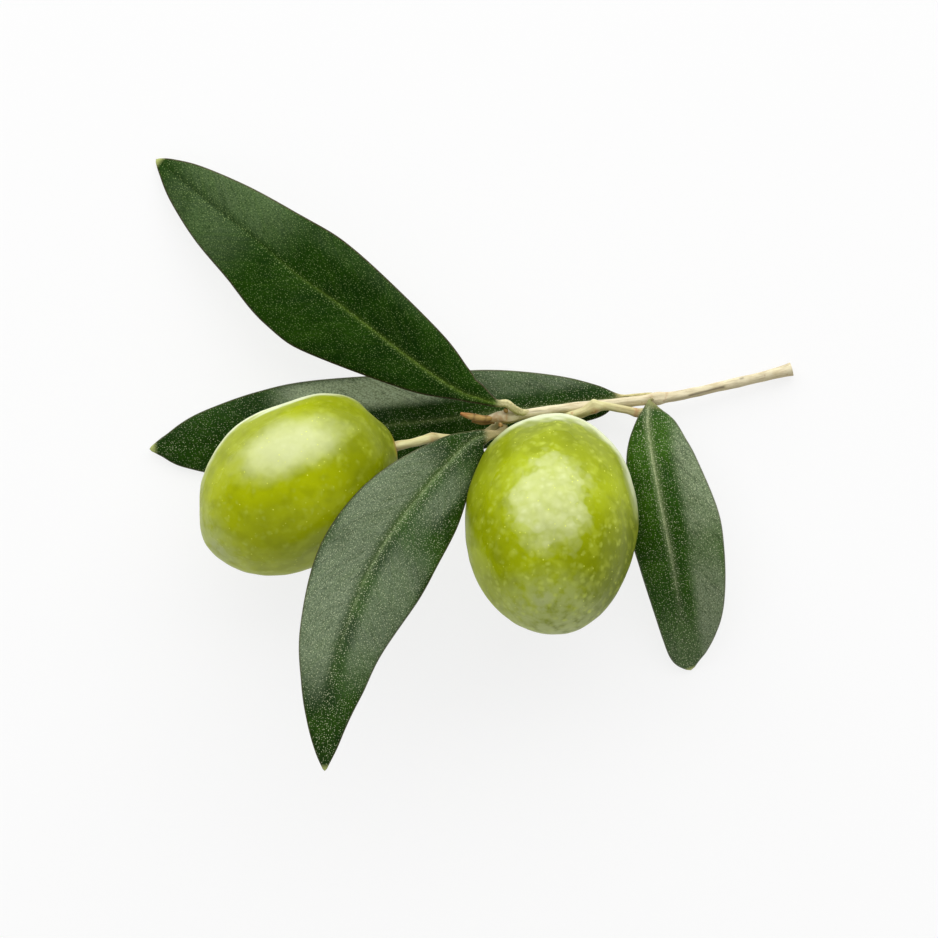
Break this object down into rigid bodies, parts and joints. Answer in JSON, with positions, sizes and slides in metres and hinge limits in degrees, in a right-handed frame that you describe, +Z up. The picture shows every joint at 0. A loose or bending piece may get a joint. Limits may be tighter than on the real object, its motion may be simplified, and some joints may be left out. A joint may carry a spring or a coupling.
{
  "type": "olive branch with fruit",
  "caption": "Cut olive twig with lance-shaped leathery leaves and green olives on short stalks, lying on a surface, with a leaf arched over a fruit.",
  "frame": {"origin": "middle of the underside of the whole branch's box, on the surface it lies on", "axes": "+X along the twig towards its cut end, +Y across towards the upper leaf's tip, +Z up, away from the surface"},
  "size_m": [0.0806, 0.0764, 0.0267],
  "materials": {
    "bark": "pale grey-beige young bark, dry",
    "leaf": "dark green waxy upper side with pale scales, silvery underside",
    "olive_skin": "taut waxy yellow-green skin with pale pores",
    "stalk": "soft pale yellow-green, slightly downy",
    "bud": "downy orange-brown scales"
  },
  "bodies": {
    "root": {"twig": "bark", "upper_leaf": "leaf", "back_leaf": "leaf", "front_leaf": "leaf", "right_leaf": "leaf", "left_olive": "olive_skin", "right_olive": "olive_skin", "left_fruit_stalk": "stalk", "right_fruit_stalk": "stalk", "long_bud_leaf": "bud", "short_bud_leaf": "bud", "upper_axillary_bud": "bud", "lower_axillary_bud": "bud"}
  },
  "joints": []
}
